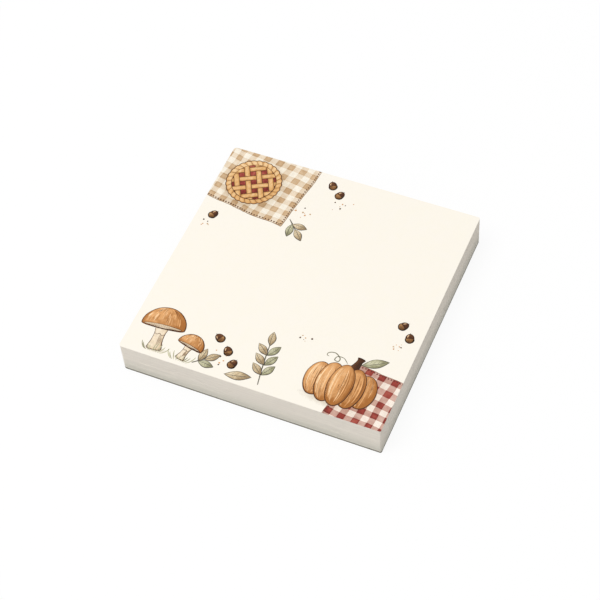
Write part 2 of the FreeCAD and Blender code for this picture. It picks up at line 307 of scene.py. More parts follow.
class Ink:
    """Closed cells of ink on the top note, gathered into one piece. Each cell reaches from the paper up
    to its rank."""

    def __init__(self, seed):
        self.points, self.faces, self.tints = [], [], []
        self.chance = random.Random(seed)

    def point(self, x, y, rank, tint):
        rise = INK_LEAST + (INK_ROOM - INK_LEAST) * rank / RANKS if rank else 0.0
        z = PAGE_HIGH.z + rise * MM
        self.points.append((PAGE_LOW.x + x * MM, PAGE_LOW.y + y * MM, z))
        self.tints.append((*tint, 1.0))
        return len(self.points) - 1

    def wash(self, outline, rank, paint, rings):
        """A filled shape. paint(x, y, depth) colours it, with depth 0 at its edge and 1 at its heart."""
        outline = outline if area(outline) > 0 else outline[::-1]
        hx, hy = middle(outline)
        count = len(outline)
        loops = []
        for ring in range(rings):
            share = 1 - ring / rings
            loop = [(hx + (x - hx) * share, hy + (y - hy) * share) for x, y in outline]
            loops.append([self.point(x, y, rank, paint(x, y, 1 - share)) for x, y in loop])
        top = self.point(hx, hy, rank, paint(hx, hy, 1.0))
        foot = [self.point(x, y, 0, paint(x, y, 0.0)) for x, y in outline]
        for k in range(count):
            n = (k + 1) % count
            self.faces += [(outer[k], outer[n], inner[n], inner[k]) for outer, inner in zip(loops, loops[1:])]
            self.faces += [(loops[-1][k], loops[-1][n], top), (foot[k], foot[n], loops[0][n], loops[0][k])]
        self.faces.append(tuple(reversed(foot)))

    def patch(self, point_at, steps, rank, paint, grow):
        """A four-sided cell: point_at(s, t) places it and paint(x, y, s, t) colours it, with s and t from
        0 to 1. It grows by a share of its width, so that no two cells end in one place."""
        shares = [(1 + 2 * grow) * k / steps - grow for k in range(steps + 1)]
        spots = [[(*point_at(s, t), s, t) for t in shares] for s in shares]
        grid = [[self.point(x, y, rank, paint(x, y, s, t)) for x, y, s, t in row] for row in spots]
        rim = [(0, j) for j in range(steps)] + [(i, steps) for i in range(steps)]
        rim += [(steps, j) for j in range(steps, 0, -1)] + [(i, 0) for i in range(steps, 0, -1)]
        foot = [self.point(*spots[i][j][:2], 0, paint(*spots[i][j])) for i, j in rim]
        for i in range(steps):
            for j in range(steps):
                self.faces.append((grid[i][j], grid[i + 1][j], grid[i + 1][j + 1], grid[i][j + 1]))
        for k, (i, j) in enumerate(rim):
            n = (k + 1) % len(rim)
            self.faces.append((foot[k], grid[i][j], grid[rim[n][0]][rim[n][1]], foot[n]))
        self.faces.append(tuple(foot))

    def stroke(self, points, rank, width, tint, ends=0.3, wobble=0.3, closed=False, weights=None):
        """A pen or brush line, thinner towards its ends."""
        count = len(points)
        phase = self.chance.uniform(0, 50)
        stations = []
        for k, (x, y) in enumerate(points):
            before = points[(k - 1) % count] if closed else points[max(k - 1, 0)]
            after = points[(k + 1) % count] if closed else points[min(k + 1, count - 1)]
            dx, dy = after[0] - before[0], after[1] - before[1]
            long = math.hypot(dx, dy) or 1.0
            taper = 1.0
            if not closed:
                taper = ends + (1 - ends) * math.sin(math.pi * k / (count - 1)) ** TAPER_POWER
            press = noise.noise(Vector((phase, k * PRESS_PACE, 0.5)))
            half = width / 2 * taper * (1 + wobble * press) * (weights[k] if weights else 1.0)
            nx, ny = -dy / long * half, dx / long * half
            shade = tuple(v * (1 + PRESS_TONE * press) for v in tint)
            left, right = (x + nx, y + ny), (x - nx, y - ny)
            sides = [(*left, rank), (*right, rank), (*right, 0), (*left, 0)]
            stations.append([self.point(*side, shade) for side in sides])
        pairs = list(zip(stations, stations[1:]))
        if closed:
            pairs.append((stations[-1], stations[0]))
        else:
            self.faces += [tuple(stations[0]), tuple(reversed(stations[-1]))]
        for a, b in pairs:
            self.faces += [(a[k], b[k], b[(k + 1) % 4], a[(k + 1) % 4]) for k in range(4)]

    def contour(self, outline, rank, width, tint, slip=0.0):
        """A pen line round a shape, a little off its edge, and heavier on the side away from the light."""
        cx, cy = middle(outline)
        weights = []
        for x, y in outline:
            far = math.hypot(x - cx, y - cy) or 1.0
            weights.append(1 + PEN_SWELL * ((x - cx) * SHADE_WAY[0] + (y - cy) * SHADE_WAY[1]) / far)
        slipped = [(x + slip, y - slip) for x, y in outline]
        self.stroke(slipped, rank, width, tint, closed=True, weights=weights)

    def piece(self, name, material, slot, *nodes):
        """The cells as an object, cut off at the note's edges."""
        mesh = bpy.data.meshes.new(name)
        mesh.from_pydata(self.points, [], self.faces)
        layer = mesh.color_attributes.new("tint", "FLOAT_COLOR", "POINT")
        layer.data.foreach_set("color", [v for tint in self.tints for v in tint])
        form = bmesh.new()
        form.from_mesh(mesh)
        for edge, out in PAGE_CUTS:
            everything = [*form.verts, *form.edges, *form.faces]
            cut = bmesh.ops.bisect_plane(form, geom=everything, dist=CUT_SLACK, plane_co=edge,
                                         plane_no=out, clear_outer=True)
            opened = [item for item in cut["geom_cut"] if isinstance(item, bmesh.types.BMEdge)]
            bmesh.ops.holes_fill(form, edges=opened, sides=0)
        bmesh.ops.dissolve_degenerate(form, dist=LEAST_EDGE, edges=form.edges[:])
        bmesh.ops.recalc_face_normals(form, faces=form.faces[:])
        form.to_mesh(mesh)
        form.free()
        finished(name, mesh, material, slot, *nodes)


def add_object(name, data):
    made = bpy.data.objects.new(name, data)
    bpy.context.scene.collection.objects.link(made)
    return made


def finished(name, mesh, material, slot, *nodes):
    """A mesh as a piece that rides on the pad and stands for some nodes."""
    thing = add_object(name, mesh)
    if material:
        mesh.materials.append(material)
    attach(thing, "root")
    if nodes:
        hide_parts(*nodes)


# Materials. Their noise scales are per metre.

BUMP_DEPTH = 0.00002


def add_node(tree, kind, settings=None, **inputs):
    """A node whose inputs are linked where a socket is given, and set otherwise. An input is named with
    _ for spaces, or by its number after an i."""
    made = tree.nodes.new(kind)
    for name, value in (settings or {}).items():
        setattr(made, name, value)
    for name, value in inputs.items():
        number = name[1:]
        socket = made.inputs[int(number) if number.isdigit() else name.replace("_", " ")]
        if isinstance(value, bpy.types.NodeSocket):
            tree.links.new(value, socket)
        else:
            socket.default_value = value
    return made


class Shader:
    """A node material around one Principled shader."""

    def __init__(self, name, roughness, specular):
        self.material = bpy.data.materials.new(name)
        self.material.use_nodes = True
        self.tree = self.material.node_tree
        self.main = self.tree.nodes["Principled BSDF"]
        self.main.inputs["Roughness"].default_value = roughness
        self.main.inputs["Specular IOR Level"].default_value = specular

    def node(self, kind, settings=None, **inputs):
        return add_node(self.tree, kind, settings, **inputs)

    def spots(self, scale, detail, vector=None):
        """A noise texture's value, in the object's own metres."""
        place = vector or self.node("ShaderNodeTexCoord").outputs["Object"]
        texture = self.node("ShaderNodeTexNoise", Vector=place, Scale=scale, Detail=detail)
        return texture.outputs["Fac"]

    def spread(self, value, low, high, start=0.3, end=0.7, way="LINEAR"):
        """A value from start to end, spread between low and high."""
        settings = {"interpolation_type": way}
        ranged = self.node("ShaderNodeMapRange", settings, i0=value, i1=start, i2=end, i3=low, i4=high)
        return ranged.outputs["Result"]

    def tinted(self, colour, factor):
        """A colour times a value."""
        grey = self.node("ShaderNodeCombineColor", Red=factor, Green=factor, Blue=factor).outputs[0]
        settings = {"data_type": "RGBA", "blend_type": "MULTIPLY"}
        return self.node("ShaderNodeMix", settings, i0=1.0, i6=colour, i7=grey).outputs[2]

    def between(self, share, first, second):
        """The first tone where share is 0, and the second where it is 1."""
        mixer = self.node("ShaderNodeMix", {"data_type": "RGBA"}, i0=share, i6=(*first, 1), i7=(*second, 1))
        return mixer.outputs[2]

    def finish(self, colour, bump, strength):
        """The material, with its colour and its relief."""
        self.tree.links.new(colour, self.main.inputs["Base Color"])
        relief = self.node("ShaderNodeBump", Height=bump, Strength=strength, Distance=BUMP_DEPTH)
        self.tree.links.new(relief.outputs["Normal"], self.main.inputs["Normal"])
        return self.material


def paper_face():
    """Smooth uncoated cream paper, with faint clouds and fibres."""
    shader = Shader("paper_face", roughness=0.72, specular=0.25)
    clouds = shader.spots(scale=420.0, detail=4.0)
    fibres = shader.spots(scale=5200.0, detail=5.0)
    colour = shader.between(shader.spread(clouds, 0.0, 1.0), tone("F8F2E7"), tone("F8F2E5"))
    colour = shader.tinted(colour, shader.spread(fibres, 0.988, 1.0))
    return shader.finish(colour, fibres, strength=0.12)


# On the cut edges: noise scales along X, Y and Z, and the share of the height where the painted shade towards
# the table ends
LINE_SCALES = (40.0, 40.0, 9200.0)
BAND_SCALES = (12.0, 12.0, 1500.0)
PAINTED_SHADE_TOP = 0.56


def paper_edge():
    """The cut edges of the notes: a line for each sheet, and a painted shade that deepens towards the table.
    """
    shader = Shader("paper_edge", roughness=0.85, specular=0.15)
    place = shader.node("ShaderNodeTexCoord").outputs["Object"]
    lines = shader.node("ShaderNodeMapping", Vector=place, Scale=LINE_SCALES).outputs[0]
    bands = shader.node("ShaderNodeMapping", Vector=place, Scale=BAND_SCALES).outputs[0]
    sheet_tone = shader.spots(scale=1.0, detail=3.0, vector=lines)
    band_tone = shader.spots(scale=1.0, detail=2.0, vector=bands)
    height = shader.node("ShaderNodeSeparateXYZ", Vector=place).outputs["Z"]
    # Painted shade: the colour of the edges darkens from this height down to the table
    painted_shade_top = PAGE_LOW.z + PAINTED_SHADE_TOP * (PAGE_HIGH.z - PAGE_LOW.z)
    rise = shader.spread(height, 0.0, 1.0, PAGE_LOW.z, painted_shade_top, "SMOOTHSTEP")
    colour = shader.between(rise, tone("E2DED2"), tone("F6EFE4"))
    colour = shader.tinted(colour, shader.spread(sheet_tone, 0.93, 1.0))
    colour = shader.tinted(colour, shader.spread(band_tone, 0.975, 1.0))
    return shader.finish(colour, sheet_tone, strength=0.35)


def flecked(name, roughness, specular, scale, detail, tones):
    """Two tones in flecks, such as greyish board or dried glue."""
    shader = Shader(name, roughness, specular)
    flecks = shader.spots(scale, detail)
    colour = shader.between(shader.spread(flecks, 0.0, 1.0), *map(tone, tones))
    return shader.finish(colour, flecks, strength=0.3)


def print_ink(name, grain, roughness):
    """Ink whose colour is painted on the mesh, and whose pigment has settled in the paper's grain."""
    shader = Shader(name, roughness, specular=0.2)
    tint = shader.node("ShaderNodeAttribute", {"attribute_name": "tint"}).outputs["Color"]
    settled = shader.spots(scale=3600.0, detail=5.0)
    pooled = shader.spots(scale=900.0, detail=3.0)
    colour = shader.tinted(tint, shader.spread(settled, 1 - grain, 1 + grain))
    colour = shader.tinted(colour, shader.spread(pooled, 1 - grain, 1 + grain / 2))
    return shader.finish(colour, settled, strength=0.1)


FACE = paper_face()
EDGE = paper_edge()
WASH = print_ink("watercolour", grain=0.07, roughness=0.75)
PEN = print_ink("pen_ink", grain=0.1, roughness=0.6)
# The board's dark grey is partly its own colour and partly painted shade: it is darkened to give the dark
# contact line along the block's bottom edge
BOARD = flecked("backing_board", roughness=0.85, specular=0.15, scale=2600.0, detail=5.0,
                tones=("706C61", "8A8578"))
GLUE = flecked("dried_glue", roughness=0.45, specular=0.4, scale=1500.0, detail=4.0,
               tones=("E9E4D3", "DAD3BC"))


# The note block: one closed skin whose sides step in between the sheets

SHEETS = 100
JUT = 0.035
SWAY = 0.05
GROOVE = 0.05
SIDE_APART = 7.3

# A note's lower edge, its upper edge and the groove above it, as shares of the way to the next note
SHEET_EDGES = (0.08, 0.86, 0.97)


def waver(side, share, pace, layer):
    """Smooth noise from 0 to 1 along a sheet's side, quicker where the pace is higher."""
    return 0.5 + 0.5 * noise.noise(Vector((share * pace, side * SIDE_APART, layer)))


def sheet_inset(number, juts, groove):
    """How far in a note of the block stands: the top one is straight."""
    def inset(side, share):
        slow = waver(side, share, 3, number * 0.09)
        quick = waver(side, share, 40, number * 1.7)
        return juts[side] + SWAY * slow + JUT * quick + groove

    return flush if number == SHEETS - 1 else inset


def between_rings(starts, around):
    """Faces between rings of points that start at these numbers."""
    faces = []
    for low, high in zip(starts, starts[1:]):
        for k in range(around):
            n = (k + 1) % around
            faces.append((low + k, low + n, high + n, high + k))
    return faces


def note_block():
    chance = random.Random(5)
    pitch = (PAGE_HIGH.z - PAGE_LOW.z) / SHEETS
    points, starts = [], []
    for number in range(SHEETS):
        juts = [chance.uniform(0, JUT) for _ in range(4)]
        for edge, groove in zip(SHEET_EDGES, (0, 0, GROOVE * chance.uniform(0.6, 1.2))):
            last = number == SHEETS - 1
            if last and groove:
                continue
            z = PAGE_LOW.z + pitch * (number + edge)
            if number == 0 and edge == SHEET_EDGES[0]:
                z = PAGE_LOW.z
            if last and edge == SHEET_EDGES[1]:
                z = PAGE_HIGH.z
            starts.append(len(points))
            rim = sheet_outline(PAGE_LOW, PAGE_HIGH, sheet_inset(number, juts, groove))
            points += [(x, y, z) for x, y in rim]
    around = len(rim)
    faces = between_rings(starts, around)
    sides = len(faces)
    faces.append(tuple(range(starts[-1], starts[-1] + around)))

    # The bed for the glue, whose rim the underside is filled up to
    glue_low, glue_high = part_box("glue_band")
    bed = len(points)
    for z in (PAGE_LOW.z, glue_high.z):
        points += [(x, y, z) for x, y in corners_of(glue_low, glue_high)]
    faces += between_rings((bed, bed + 4), 4)
    faces.append(tuple(range(bed + 4, bed + 8)))

    mesh = bpy.data.meshes.new("note_block")
    mesh.from_pydata(points, [], faces)
    mesh.materials.append(FACE)
    mesh.materials.append(EDGE)
    for face in mesh.polygons[:sides]:
        face.material_index = 1
    form = bmesh.new()
    form.from_mesh(mesh)
    open_edges = [edge for edge in form.edges if edge.is_boundary]
    bmesh.ops.triangle_fill(form, edges=open_edges, use_beauty=True)
    bmesh.ops.recalc_face_normals(form, faces=form.faces[:])
    form.to_mesh(mesh)
    form.free()
    finished("note_block", mesh, None, "note_paper", "note_sheets")


BOARD_SWAY = 0.03

# Rings of the backing's skin: height as a share, and how far in its blunt edge stands
BOARD_RINGS = ((0.0, 0.04), (0.1, 0.0), (0.88, 0.0), (1.0, 0.03))


def backing():
    """The backing sheet, with the notes' rounded corners and slightly blunt edges."""
    low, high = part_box("backing_sheet")
    points, starts = [], []
    for rise, blunt in BOARD_RINGS:
        def inset(side, share):
            return blunt + BOARD_SWAY * waver(side, share, 9, 3.1)

        starts.append(len(points))
        rim = sheet_outline(low, high, inset)
        points += [(x, y, low.z + (high.z - low.z) * rise) for x, y in rim]
    around = len(rim)
    faces = between_rings(starts, around)
    faces.append(tuple(range(starts[-1], starts[-1] + around)))
    faces.append(tuple(reversed(range(around))))
    mesh = bpy.data.meshes.new("backing")
    mesh.from_pydata(points, [], faces)
    finished("backing", mesh, BOARD, "backing_board", "backing_sheet")


# Checked cloths: squares and gaps are one band wide, half a check, and cloths are counted in bands

CHECK_PITCH = 3.8
BAND = CHECK_PITCH / 2
RED_TURN, TAN_TURN = -97, 82
RED_CHECKS, TAN_CHECKS = (6, 5), (7, 8)
SAG, SAG_SCALE = 0.55, 0.13
CREASE, CREASE_SCALE = 0.07, 1.6
CELL_TONE, CELL_VARIES, CELL_CLOUDS = 0.42, 0.14, 0.35
STRIPE_POOL, SQUARE_POOL = 0.12, 0.3
HEM_OUT, HEM_WIDE, HEM_STEPS = 0.03, 0.19, 48
STITCH_PITCH, STITCH_WIDE = 0.84, 0.4
STITCH_FROM, STITCH_TO = 0.1, 0.33


def drift(x, y, scale, seed):
    """How far cloth has slipped at a place, along X and Y, from -1 to 1."""
    return [mottle(x, y, scale, seed + way) for way in (0.3, 0.7)]


def stitch_places(length):
    """Where the stitches are along a side, all in bands."""
    return [k * STITCH_PITCH / BAND for k in range(1, round(length * BAND / STITCH_PITCH))]


def cloth(name, corner, turn, checks, tones, slots, shade, seed):
    """Ground, stripes and squares, from a corner along the cloth's own X and Y, with so many checks each
    way. shade(x, y) darkens it. Returns its hem on two sides, and the ends of its stitches there."""
    ground_tones, stripe_tones, square_tones = tones
    ground, stripes, squares = Ink(seed), Ink(seed + 1), Ink(seed + 2)
    length, width = [2 * count - 1 for count in checks]

    def on_page(i, j):
        x, y = turned([(i * BAND, j * BAND)], corner, turn)[0]
        sag, crease = drift(x, y, SAG_SCALE, seed), drift(x, y, CREASE_SCALE, seed)
        return x + SAG * sag[0] + CREASE * crease[0], y + SAG * sag[1] + CREASE * crease[1]

    def cell(ink, i, j, rank, tones, pool, grow, steps=4):
        darker = ink.chance.uniform(-CELL_VARIES, CELL_VARIES)

        def paint(x, y, s, t):
            depth = 2 * min(s, 1 - s, t, 1 - t)
            share = CELL_TONE + darker + pool * (1 - depth) ** 3
            share += CELL_CLOUDS * mottle(x, y, 0.9, seed + 3)
            return in_shade(between_tones(tones, share), shade(x, y))

        ink.patch(lambda s, t: on_page(i + s, j + t), steps, rank, paint, grow)

    for i in range(length):
        for j in range(width):
            if i % 2 and j % 2:
                cell(ground, i, j, GROUND_RANK, ground_tones, 0.0, OVERLAP, steps=2)
            elif i % 2 or j % 2:
                cell(stripes, i, j, STRIPE_RANK, stripe_tones, STRIPE_POOL, -SHRINK)
            else:
                cell(squares, i, j, SQUARE_RANK, square_tones, SQUARE_POOL, OVERLAP)
    ground.piece(f"{name}_ground", WASH, slots[0])
    stripes.piece(f"{name}_stripes_print", WASH, slots[1], f"print_{name}_stripes")
    squares.piece(f"{name}_squares_print", WASH, slots[2], f"print_{name}_squares")
    hem = [on_page(length * k / HEM_STEPS, -HEM_OUT) for k in range(HEM_STEPS, 0, -1)]
    hem += [on_page(-HEM_OUT, width * k / HEM_STEPS) for k in range(HEM_STEPS + 1)]
    ticks = [(on_page(k, STITCH_FROM), on_page(k, STITCH_TO)) for k in stitch_places(length)]
    ticks += [(on_page(STITCH_FROM, k), on_page(STITCH_TO, k)) for k in stitch_places(width)]
    return hem, ticks


PUMPKIN_SHADE, PIE_SHADE = 0.3, 0.1


def cloths():
    stitches = Ink(60)

    def under_pumpkin(x, y):
        across = (x - PUMPKIN[0] - SHADE_WAY[0]) / (PUMPKIN_SIZE[0] / 2 + 1.6)
        along = (y - PUMPKIN[1] - SHADE_WAY[1]) / (PUMPKIN_SIZE[1] / 2 + 1.4)
        return 1 - PUMPKIN_SHADE * max(0.0, 1.12 - math.hypot(across, along))

    def under_pie(x, y):
        far = math.hypot(x - PIE[0] - SHADE_WAY[0], y - PIE[1] - SHADE_WAY[1])
        return 1 - PIE_SHADE * max(0.0, min(2.0, PIE_SIZE[0] / 2 + 2.0 - far))

    red = cloth("red_cloth", RED_CLOTH, RED_TURN, RED_CHECKS, (RED_GROUND, ROSE, RUST),
                ("ink_cream", "ink_rose", "ink_rust"), under_pumpkin, seed=61)
    tan = cloth("tan_cloth", TAN_CLOTH, TAN_TURN, TAN_CHECKS, (TAN_GROUND, SAND, TAN),
                ("ink_cream", "ink_sand", "ink_tan"), under_pie, seed=71)
    for (hem, ticks), thread in ((red, RED_THREAD), (tan, TAN_THREAD)):
        stitches.stroke(hem, STITCH_RANK, HEM_WIDE, mix(thread, TAN[0], 0.25), wobble=0.5)
        for tick in ticks:
            stitches.stroke(tick, STITCH_RANK, STITCH_WIDE, thread, ends=1.0, wobble=0.15)
    stitches.piece("cloth_stitches", PEN, "ink_brown")


# Pumpkin

RIBS = 5
RIB_WIDE = 6.8
RIB_FALL = 0.2
RIB_RANKS = 2.4
RIB_TONE = 0.28
STREAKS = 26
STREAK_RANKS = 1.7
STREAK_BEND, STREAK_END = 0.9, 76
STALK_TURN = -14
STALK = ((-1.3, 5.4), (-0.95, 7.4), (-0.8, 9.1), (-1.05, 9.95),
         (0.95, 10.1), (0.8, 9.0), (1.0, 7.4), (1.4, 5.4))
STALK_RIDGES = (-0.4, 0.1, 0.55)
TENDRIL = ((-0.6, 6.9), (-2.2, 8.3), (-4.0, 8.2), (-4.4, 7.0), (-3.3, 6.8),
           (-3.2, 7.9), (-4.9, 9.1), (-6.6, 8.7), (-6.9, 7.8), (-6.2, 7.6))


def streak(ink, lines, arc, rank, reached, width, share, pen):
    """A brush stroke on a wash, above those before it, and a pen line on it unless pen is 0."""
    ink.stroke(arc, rank + STREAK_RANKS * reached, width, between_tones(CARAMEL, share), ends=0.1)
    if pen:
        lines.stroke(arc, rank + STREAK_RANKS + 0.15, pen, mix(LINE, CARAMEL[2], 0.35), ends=0.05)


def pumpkin(stalk_ink, lines):
    """Ribs from the outer ones inwards, and the stalk behind them."""
    ink = Ink(21)
    for order, number in enumerate((0, 4, 1, 3, 2)):
        aside = number / (RIBS - 1) - 0.5
        tall = PUMPKIN_SIZE[1] * (1 - RIB_FALL * (2 * aside) ** 2)
        centre = (PUMPKIN[0] + aside * (PUMPKIN_SIZE[0] - RIB_WIDE), PUMPKIN[1])
        outline = oval(RIB_WIDE, tall, 48, centre, rough=0.02, seed=number)
        rank = RIB_RANK + RIB_RANKS * order
        light = (centre[0] - 0.6, centre[1] + 1)
        paint = painted(CARAMEL, light, 8.5, towards=(-0.75, 0.65), rim=0.55, shift=RIB_TONE * aside,
                        seed=number)
        ink.wash(outline, rank, paint, rings=9)
        lines.contour(outline, rank + STREAK_RANKS + 0.3, 0.24, LINE, slip=0.03)
        for turn in range(1, STREAKS + 1):
            bend = ink.chance.uniform(-STREAK_BEND, STREAK_BEND)
            low = ink.chance.uniform(-STREAK_END, 10)
            high = ink.chance.uniform(0, STREAK_END)
            share = 0.5 + 0.35 * bend + ink.chance.uniform(-0.42, 0.3)
            arc = []
            for k in range(13):
                angle = math.radians(low + (high - low) * k / 12)
                arc.append((centre[0] + bend * RIB_WIDE / 2 * math.cos(angle),
                            centre[1] + 0.96 * tall / 2 * math.sin(angle)))
            width = ink.chance.uniform(0.12, 0.34)
            streak(ink, lines, arc, rank, turn / STREAKS, width, share, pen=0 if turn % 5 else 0.13)

    at_stalk = placing(PUMPKIN, STALK_TURN)
    stalk = flowing(at_stalk(STALK), closed=True, steps=5)
    paint = painted(BROWN, middle(stalk), 2.6, towards=(-0.9, 0.3), rim=0.3, seed=4)
    stalk_ink.wash(stalk, STALK_RANK, paint, rings=5)
    lines.contour(stalk, STALK_RANK + 1, 0.22, DARK_LINE)
    for aside in STALK_RIDGES:
        ridge = at_stalk([(aside, 6.8), (aside * 0.75, 8.2), (aside * 0.9, 9.7)])
        lines.stroke(flowing(ridge), STALK_RANK + 1.5, 0.13, DARK_LINE)
    tendril = flowing(turned(TENDRIL, PUMPKIN))
    lines.stroke(tendril, STALK_RANK + 1, 0.26, mix(SAGE[2], LEAF_LINE, 0.5), ends=0.4)
    ink.piece("pumpkin_print", WASH, "ink_caramel", "print_pumpkin")


# Pie, seen from above

PIE_TURN = 28.0
CRUST_RIM = 1.7
CRUST_STRIP = 1.6
CRUST_STRIPS = 4
CRIMPS = 28
BERRIES = 80


def pie(lines):
    crust, filling = Ink(31), Ink(32)
    outside = PIE_SIZE[0] / 2
    inside = outside - CRUST_RIM
    gap = 2 * inside / CRUST_STRIPS
    offsets = [gap * (k + 0.5) - inside for k in range(CRUST_STRIPS)]
    at = placing(PIE, PIE_TURN)

    pool = painted(RUST, PIE, 9, towards=(-0.5, 0.8), rim=0.3, grain=0.7, shift=0.12, seed=8)
    filling.wash(oval(2 * inside + 1.2, 2 * inside + 1.2, 60, PIE), FILLING_RANK, pool, rings=14)
    for number in range(BERRIES):
        far, way = inside * math.sqrt(filling.chance.random()), filling.chance.uniform(0, 2 * math.pi)
        spot = at([(far * math.cos(way), far * math.sin(way))])[0]
        wide = filling.chance.uniform(0.45, 0.85)
        berry = oval(wide, wide * 0.9, 10, spot, rough=0.2, seed=wide)
        skin = painted(RUST, spot, wide * 0.7, towards=(-0.6, 0.8), rim=0.6, grain=0.2,
                       shift=filling.chance.uniform(-0.1, 0.25))
        filling.wash(berry, FILLING_RANK + 0.1 + 0.09 * (number % 20), skin, rings=2)

    for k, across in enumerate(offsets):
        for j, along in enumerate(offsets):
            for upright in (True, False):
                reach = math.sqrt((inside + 0.4) ** 2 - across**2)
                start, end = max(along - gap / 2, -reach), min(along + gap / 2, reach)
                over = (k + j) % 2 == (0 if upright else 1)
                rank = OVER_RANK if over else UNDER_RANK

                def spot(s, t):
                    u, v = across + (s - 0.5) * CRUST_STRIP, start + (end - start) * t
                    return at([(u, v) if upright else (v, u)])[0]

                def paint(x, y, s, t):
                    share = 0.36 - 0.14 * (0.5 - s) * (1 if upright else -1) + 0.45 * (2 * s - 1) ** 2
                    share += 0 if over else 0.5 * max(0.0, 1 - abs(2 * t - 1) * 1.3)
                    share += 0.3 * mottle(x, y, 1.4, 31)
                    return between_tones(CRUST, share)

                crust.patch(spot, 6, rank, paint, SHRINK if over else -SHRINK)
                for side in (0.0, 1.0):
                    edge = [spot(side, t / 6) for t in range(7)]
                    lines.stroke(edge, rank + 0.5, 0.18, LINE, ends=0.9)

    for k in range(CRIMPS):
        start, step = 2 * math.pi * k / CRIMPS, 2 * math.pi / CRIMPS

        def spot(s, t):
            angle = start + step * s
            rim = outside - 0.28 + 0.26 * math.sin(math.pi * s) ** 0.7
            far = inside - 0.1 + (rim - inside + 0.1) * t
            slant = angle + 0.1 * (t - 0.5)
            return at([(far * math.cos(slant), far * math.sin(slant))])[0]

        def paint(x, y, s, t):
            ridge = math.sin(math.pi * s)
            lean = ((x - PIE[0]) * LIGHT_WAY[0] + (y - PIE[1]) * LIGHT_WAY[1]) / outside
            share = 0.55 - 0.3 * ridge - 0.16 * lean + 0.35 * abs(2 * t - 1) ** 3
            return between_tones(CRUST, share + 0.25 * mottle(x, y, 1.0, 33))

        crust.patch(spot, 5, CRIMP_RANK, paint, -SHRINK)
        crease = [spot(0.0, t / 6) for t in range(6)]
        lines.stroke(crease, CRIMP_RANK + 1, 0.17, mix(LINE, CRUST[2], 0.4))
        lines.stroke([spot(s / 6, 1.0) for s in range(7)], CRIMP_RANK + 1, 0.24, LINE, ends=0.9)
    lines.contour(oval(2 * inside, 2 * inside, 72, PIE, rough=0.01), CRIMP_RANK + 1.5, 0.18, LINE)
    crust.piece("pie_crust_print", WASH, "ink_caramel", "print_pie_crust")
    filling.piece("pie_filling_print", WASH, "ink_rust", "print_pie_filling")


# Mushrooms: foot, share of the first one's size, and lean

MUSHROOMS = (((9.2, 2.6), 1.0, 5.0), ((17.2, 2.2), 0.62, -12.0))
CAP = ((-6.25, 8.0), (-5.6, 10.6), (-3.2, 13.1), (0.0, 13.95), (3.2, 13.1), (5.6, 10.6), (6.25, 8.0),
       (5.2, 7.15), (0.0, 6.85), (-5.2, 7.15))
GILLS = ((-5.5, 7.55), (-2.8, 8.0), (0.0, 8.15), (2.8, 8.0), (5.5, 7.55), (3.0, 7.05), (0.0, 6.9),
         (-3.0, 7.05))
STEM = ((-1.95, 0.1), (-1.6, 2.4), (-1.45, 5.0), (-1.6, 7.5), (1.6, 7.5), (1.45, 5.0), (1.6, 2.4),
        (2.05, 0.1), (0.0, -0.3))
CAP_STREAKS = 44
CAP_FOOT, CAP_REACH = 7.9, 6.0


